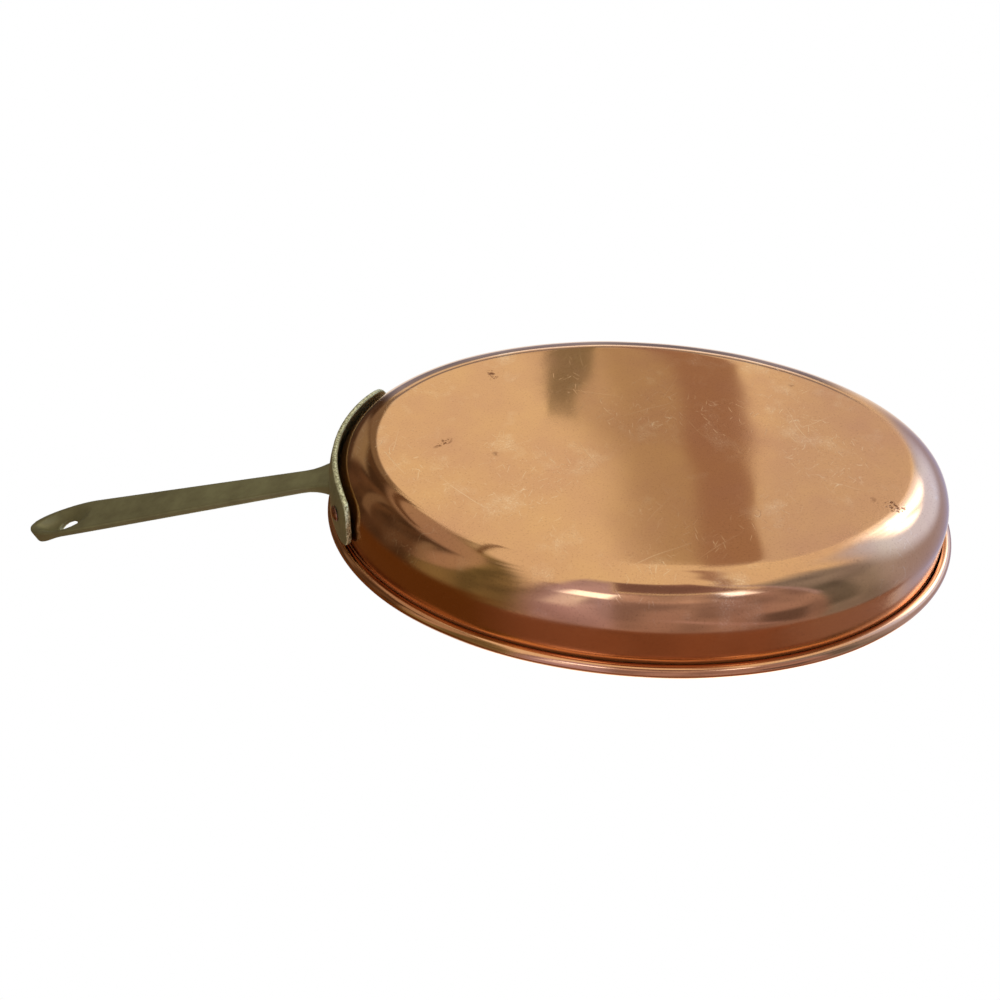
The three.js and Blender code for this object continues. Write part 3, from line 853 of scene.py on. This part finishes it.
def set_rivets(outline):
    """Turns a rivet from its half outline and sets one on every point of the input."""
    tree, given = tree_with("set_rivets", [
        ("Outer material", "NodeSocketMaterial"),
        ("Inner material", "NodeSocketMaterial"),
    ])
    steps, depth_limit = 40, 1e-9
    half = add(tree, "GeometryNodeObjectInfo", {"Object": outline}).outputs["Geometry"]
    grid, row, angle, section = section_grid(tree, half, steps)
    upright = add(tree, "ShaderNodeCombineXYZ", {0: section["Y"], 2: section["Z"]})
    turned = add(tree, "ShaderNodeVectorRotate", {
        "Vector": upright, "Angle": angle,
    }, rotation_type="Z_AXIS")
    skin = add(tree, "GeometryNodeSetPosition", {"Geometry": grid, "Position": turned})
    # The first row is the top of the outer head, which is at depth 0 as well
    inner = add(tree, NUMBER, {0: section["Z"], 1: depth_limit}, operation="LESS_THAN")
    later = add(tree, NUMBER, {0: row, 1: 0.5}, operation="GREATER_THAN")
    inner = add(tree, NUMBER, {0: inner, 1: later}, operation="MULTIPLY")
    marked = add(tree, "GeometryNodeStoreNamedAttribute", {
        "Geometry": skin, "Name": "inner", "Value": inner,
    }, data_type="FLOAT")
    inward, grip, is_inner = [
        add(tree, "GeometryNodeInputNamedAttribute", {"Name": name}, data_type=kind)
        for name, kind in (("inward", "FLOAT_VECTOR"), ("grip", "FLOAT"), ("inner", "FLOAT"))
    ]
    turn = add(tree, "FunctionNodeAlignRotationToVector", {"Vector": inward}, axis="Z")
    copies = add(tree, "GeometryNodeInstanceOnPoints", {
        "Points": given["Geometry"], "Instance": marked, "Rotation": turn,
    })
    real = add(tree, "GeometryNodeRealizeInstances", {"Geometry": copies})
    shift = add(tree, NUMBER, {0: grip, 1: is_inner}, operation="MULTIPLY")
    shift = add(tree, VECTOR, {0: inward, "Scale": shift}, operation="SCALE")
    drawn_out = add(tree, "GeometryNodeSetPosition", {"Geometry": real, "Offset": shift})
    joined = add(tree, "GeometryNodeMergeByDistance", {
        "Geometry": drawn_out, "Distance": WELD_DISTANCE,
    })
    smooth = add(tree, "GeometryNodeSetShadeSmooth", {"Geometry": joined})
    copper = add(tree, "GeometryNodeSetMaterial", {
        "Geometry": smooth, "Material": given["Outer material"],
    })
    tinned = add(tree, "GeometryNodeSetMaterial", {
        "Geometry": copper, "Selection": is_inner, "Material": given["Inner material"],
    })
    add(tree, "NodeGroupOutput", {0: tinned})
    return tree


# Stage


# The camera was fitted to the photograph: metres, radians, and millimetres for the lens
CAMERA_PLACE = Vector((-0.0245, 0.3743, -0.3222))
CAMERA_TARGET = Vector((-0.0645, 0.0142, 0.0280))
CAMERA_TILT = 0.0167
CAMERA_LENS = 37.49
STAGE_RADIUS = 1.4
PAN_MIDDLE = Vector((0, 0, 0.02))


def towards(bearing, elevation):
    """Unit vector from the pan. Bearing is counted from +X towards +Y, both in degrees."""
    turn, rise = math.radians(bearing), math.radians(elevation)
    level = math.cos(rise)
    return Vector((math.cos(turn) * level, math.sin(turn) * level, math.sin(rise)))


def only_reflected(piece):
    """Leaves a stage piece to be seen in polished metal and nowhere else."""
    piece.visible_camera = False
    piece.visible_diffuse = False
    piece.visible_transmission = False
    piece.visible_volume_scatter = False
    piece.visible_shadow = False


def studio_flag(
    name, bearings, elevations, hex_code, fades, layer, slant=0, oval=0, bow=0, folds=0, glow=1,
):
    """Curved cloth flag round the stage, with soft edges, that polished metal reflects.

    The fades are those of its left, right, and top and bottom edge. A higher layer hangs nearer.
    Slant is how far its top stands back in bearing, for each degree that it rises. A flag with an
    oval power has no corners and one fade, its last, and bow is how far its two sides stand up.
    Folds is how much lighter and darker than its glow the cloth goes in its folds.
    """
    columns, rows = 40, 24
    layer_gap, fold_width, fold_stretch = 0.02, 0.25, 0.3
    half_height = (elevations[1] - elevations[0]) / 2
    radius = STAGE_RADIUS - layer_gap * layer
    points, edge = [], []
    for j in range(rows + 1):
        for i in range(columns + 1):
            across, up = 2 * i / columns - 1, 2 * j / rows - 1
            bearing = bearings[0] + (bearings[1] - bearings[0]) * i / columns
            elevation = elevations[0] + (elevations[1] - elevations[0]) * j / rows
            turned = bearing - slant * (elevation - elevations[0])
            raised = elevation + bow * across ** 2
            points.append(PAN_MIDDLE + radius * towards(turned, raised))
            if oval:
                reach = (abs(across) ** oval + abs(up) ** oval) ** (1 / oval)
                inside = max(0, min(1, (1 - reach) * half_height / fades[2]))
            else:
                inside = min(
                    (bearing - bearings[0]) / fades[0], (bearings[1] - bearing) / fades[1],
                    half_height * (1 - abs(up)) / fades[2], 1,
                )
            # A smooth step, so that the edge has no crease
            edge.append(inside * inside * (3 - 2 * inside))
    wide = columns + 1
    corners = [j * wide + i for j in range(rows) for i in range(columns)]
    flag = mesh_object(name, points, (), [(c, c + 1, c + wide + 1, c + wide) for c in corners])
    store(flag, "inside", edge)
    material, tree, place = new_material(name)
    cover = add(tree, "ShaderNodeAttribute", attribute_name="inside").outputs["Fac"]
    clear = add(tree, "ShaderNodeBsdfTransparent")
    upright = add(tree, "ShaderNodeMapping", {"Vector": place, "Scale": (1.0, 1.0, fold_stretch)})
    lit = patches(
        tree, upright, size=fold_width, low=0.35, high=0.65, roughness=0.4,
        strength=(glow * (1 - folds), glow * (1 + folds)))
    cloth = add(tree, "ShaderNodeEmission", {"Color": colour(hex_code), "Strength": lit})
    mix = add(tree, "ShaderNodeMixShader", {0: cover, 1: clear, 2: cloth})
    add(tree, "ShaderNodeOutputMaterial", {"Surface": mix})
    flag.data.materials.append(material)
    only_reflected(flag)


def softbox(name, bearing, elevation, distance, size, brightness):
    """Square or oblong lamp that faces the pan, as bright as brightness times white paper."""
    lamp = bpy.data.lights.new(name, "AREA")
    lamp.shape = "RECTANGLE"
    lamp.size, lamp.size_y = size
    lamp.energy = brightness * math.pi * size[0] * size[1]
    made = placed(name, lamp)
    direction = towards(bearing, elevation)
    made.location = PAN_MIDDLE + distance * direction
    made.rotation_euler = direction.to_track_quat("Z", "Y").to_euler()
    made.visible_camera = False


def studio_floor(finish):
    """Pale floor just under the pan, clear from below, that runs out into plain white.

    It is there for the camera alone, and takes the shadow of the pan.
    """
    reach, drop, fade_start, fade_end = 6.0, 0.05 * MM, 0.55, 1.5
    corners = [(-reach, -reach), (reach, -reach), (reach, reach), (-reach, reach)]
    floor = mesh_object("studio_floor", [(x, y, -drop) for x, y in corners], (), [(0, 1, 2, 3)])
    material, tree, place = new_material("studio_floor")
    far = add(tree, VECTOR, {0: place}, operation="LENGTH").outputs["Value"]
    far = add(tree, "ShaderNodeMapRange", {
        "Value": far, "From Min": fade_start, "From Max": fade_end,
    }, interpolation_type="SMOOTHSTEP")
    paper = add(tree, "ShaderNodeBsdfDiffuse", {"Color": finish.floor})
    white = add(tree, "ShaderNodeEmission", {"Strength": 1.0})
    top = add(tree, "ShaderNodeMixShader", {0: far, 1: paper, 2: white})
    clear = add(tree, "ShaderNodeBsdfTransparent")
    below = add(tree, "ShaderNodeNewGeometry").outputs["Backfacing"]
    seen = add(tree, "ShaderNodeMixShader", {0: below, 1: top, 2: clear})
    add(tree, "ShaderNodeOutputMaterial", {"Surface": seen})
    floor.data.materials.append(material)
    floor.visible_glossy = False
    floor.visible_diffuse = False
    floor.visible_transmission = False
    floor.visible_shadow = False


def studio_world():
    """White all round for the camera, metal and glass, and a gentler level for the rest."""
    world = bpy.data.worlds.new("studio_world")
    world.use_nodes = True
    tree = world.node_tree
    tree.nodes.clear()
    paper, gentle_level = colour("#ffffff"), 0.75
    path = add(tree, "ShaderNodeLightPath").outputs
    seen = path["Is Camera Ray"]
    for ray in ("Is Glossy Ray", "Is Transmission Ray"):
        seen = add(tree, NUMBER, {0: seen, 1: path[ray]}, operation="MAXIMUM")
    gentle = add(tree, "ShaderNodeBackground", {"Color": paper, "Strength": gentle_level})
    white = add(tree, "ShaderNodeBackground", {"Color": paper, "Strength": 1.0})
    mix = add(tree, "ShaderNodeMixShader", {0: seen, 1: gentle, 2: white})
    add(tree, "ShaderNodeOutputWorld", {"Surface": mix})
    bpy.context.scene.world = world


def studio_camera():
    """Camera where the photograph was taken from: below and beside the base of the pan."""
    lens = bpy.data.cameras.new("camera")
    lens.lens = CAMERA_LENS
    lens.sensor_width = 36
    lens.sensor_fit = "HORIZONTAL"
    camera = placed("camera", lens)
    back = (CAMERA_PLACE - CAMERA_TARGET).normalized()
    side = Vector((0, 0, -1)).cross(back).normalized()
    upright = back.cross(side)
    turn = Matrix((side, upright, back)).transposed() @ Matrix.Rotation(-CAMERA_TILT, 3, "Z")
    camera.matrix_world = Matrix.Translation(CAMERA_PLACE) @ turn.to_4x4()
    bpy.context.scene.camera = camera


class GRATIN_OT_studio(bpy.types.Operator):
    """Sets the floor, the world, the flags, the lamp and the camera"""

    bl_idname = "gratin.studio"
    bl_label = "Studio"

    def execute(self, context):
        context.scene.view_settings.view_transform = "Standard"
        studio_world()
        studio_floor(settings(context).finish)
        # Round the handle end of the pan
        studio_flag("rear_drape", (113, 243), (-71, 61), "#88846b", (8, 6, 3), 0, oval=3, folds=0.3)
        studio_flag("low_cloth", (134, 238), (-67.5, 0), "#bfb1ac", (6, 6, 3), 1, oval=3)
        studio_flag("low_line", (160, 246), (-71.5, -68.5), "#7a6350", (12, 6, 1.2), 2, bow=6)
        studio_flag("upper_line", (176, 240), (-53, -49.5), "#6b5546", (8, 6, 1), 3)
        studio_flag("dark_drape", (147, 243), (-51, 61), "#5f4f43", (6, 5, 2), 2, folds=0.35)
        studio_flag("near_streak", (154, 161), (-47, -6), "#a39a90", (2, 2, 8), 3, 0.3)
        studio_flag("far_streak", (192, 203), (-48, -6), "#85796f", (3, 3, 8), 3, 0.5)
        studio_flag("dark_corner", (188, 240), (0, 60), "#3d3a38", (8, 5, 8), 3)
        studio_flag("left_cloth", (230, 246), (-50, -16), "#8f857c", (5, 4, 5), 3)
        studio_flag("left_window", (208, 234), (-38, -5), "#a09a90", (7, 6, 8), 4)
        # Along the side that faces the camera
        studio_flag("front_drape", (34, 118), (-57, 48), "#ada0b4", (5, 5, 5), 0, folds=0.22)
        studio_flag("front_cloth", (42, 93), (-77, -55), "#937f8e", (6, 4, 3), 1, folds=0.15)
        studio_flag("front_light", (60, 92), (-56, -34), "#cfc2d6", (8, 5, 7), 1, folds=0.2)
        studio_flag("front_shade", (43, 60), (-8, 24), "#756c7a", (4, 4, 8), 1)
        studio_flag("front_fold", (79, 87), (-4, 22), "#cabddf", (2, 2, 5), 2, 1.3)
        studio_flag("pink_glow", (90, 114), (-79, 30), "#c9c0f2", (4, 6, 8), 2, folds=0.15)
        studio_flag("lit_strip", (88, 105), (-51, -37), "#c5d6ff", (4, 4, 4), 4, -0.3, glow=4.5)
        studio_flag("lit_tail", (97, 107), (-42, -8), "#d0d9ff", (3, 3, 10), 3, -0.12, glow=1.8)
        studio_flag("lit_spot", (47, 60), (-56, -44), "#c5d6ff", (5, 5, 5), 4, glow=5)
        # Round the end away from the handle
        studio_flag("grey_side", (0, 40), (-64, 46), "#9ba4be", (14, 3, 8), 1, folds=0.15)
        studio_flag("dark_panel", (25, 41), (-40, 12), "#727a8b", (6, 4, 10), 2, folds=0.2)
        studio_flag("pale_fold", (37.5, 41), (-75, -18), "#c1beec", (1, 1, 8), 3)
        studio_flag("sky", (-66, 26), (-64, 52), "#b0bae8", (8, 8, 16), 2, oval=2, glow=1.15)
        studio_flag("window", (-63, 16), (-61, 6), "#9cbaff", (8, 8, 18), 3, oval=2, glow=2.9)
        studio_flag(
            "sun_patch", (-67, -14), (-54, -26), "#c2d6ff", (8, 8, 8), 4, -0.4, 2,
            folds=0.4, glow=6)
        # Along the side away from the camera
        studio_flag("rear_shadow", (-130, -62), (-29, -20), "#9c9fb8", (8, 8, 3), 1)
        studio_flag("rear_sky", (-130, -64), (-17, 12), "#949dbe", (6, 6, 5), 2, folds=0.25)
        studio_flag("rear_glint", (-106, -68), (-19, -12), "#cfdeff", (7, 7, 3), 3, glow=2.5)
        # Over the open side of the pan
        studio_flag("ground", (4, 250), (26, 62), "#91695a", (12, 14, 4), 5, folds=0.15)
        studio_flag("left_ground", (112, 236), (6, 62), "#6a4926", (24, 10, 16), 6)
        studio_flag("right_ground", (-4, 52), (27, 62), "#a08685", (10, 22, 4), 6)
        # Low bands, from the side away from the camera to the end away from the handle
        studio_flag("right_haze", (-76, -58), (-58, -24), "#eceaf4", (5, 4, 5), 0)
        studio_flag("soft_band", (-86, -69), (-56, -24), "#cbc1b8", (10, 3, 8), 1, 0.6)
        studio_flag("narrow_band", (-71.5, -63.5), (-64, -16), "#b49d98", (2.4, 0.6, 16), 2, 0.5)
        studio_flag("band_hook", (-72, 46), (-80, -74), "#b8a6ac", (8, 6, 2.4), 2, bow=12)
        studio_flag("thin_flag", (-95.5, -91.5), (-39.5, -24), "#9c9a92", (0.8, 0.8, 1), 3)
        softbox(
            "overhead", bearing=300, elevation=72, distance=1.7, size=(1.2, 1.2), brightness=1.3)
        studio_camera()
        return {"FINISHED"}


class GRATIN_PT_panel(bpy.types.Panel):
    """Lists the steps that build the pan"""

    bl_idname = "GRATIN_PT_panel"
    bl_label = "Gratin Pan"
    bl_space_type = "VIEW_3D"
    bl_region_type = "UI"
    bl_category = "Gratin Pan"

    def draw(self, context):
        for operator in OPERATORS:
            self.layout.operator(operator.bl_idname, text=operator.bl_label)


OPERATORS = (
    GRATIN_OT_copper_shell,
    GRATIN_OT_tin_skin,
    GRATIN_OT_rim_wire,
    GRATIN_OT_brass_handle,
    GRATIN_OT_rivets,
    GRATIN_OT_studio,
)
CLASSES = (
    PanSizes, RivetSizes, HandleSizes, Finishes, PanScene, *OPERATORS, GRATIN_PT_panel,
)


def register():
    for cls in CLASSES:
        bpy.utils.register_class(cls)
    bpy.types.Scene.gratin_pan = bpy.props.PointerProperty(type=PanScene)


def unregister():
    del bpy.types.Scene.gratin_pan
    for cls in reversed(CLASSES):
        bpy.utils.unregister_class(cls)


def main():
    register()
    bpy.ops.gratin.copper_shell()
    bpy.ops.gratin.tin_skin()
    bpy.ops.gratin.rim_wire()
    bpy.ops.gratin.brass_handle()
    bpy.ops.gratin.rivets()
    bpy.ops.gratin.studio()


if __name__ == "__main__":
    main()
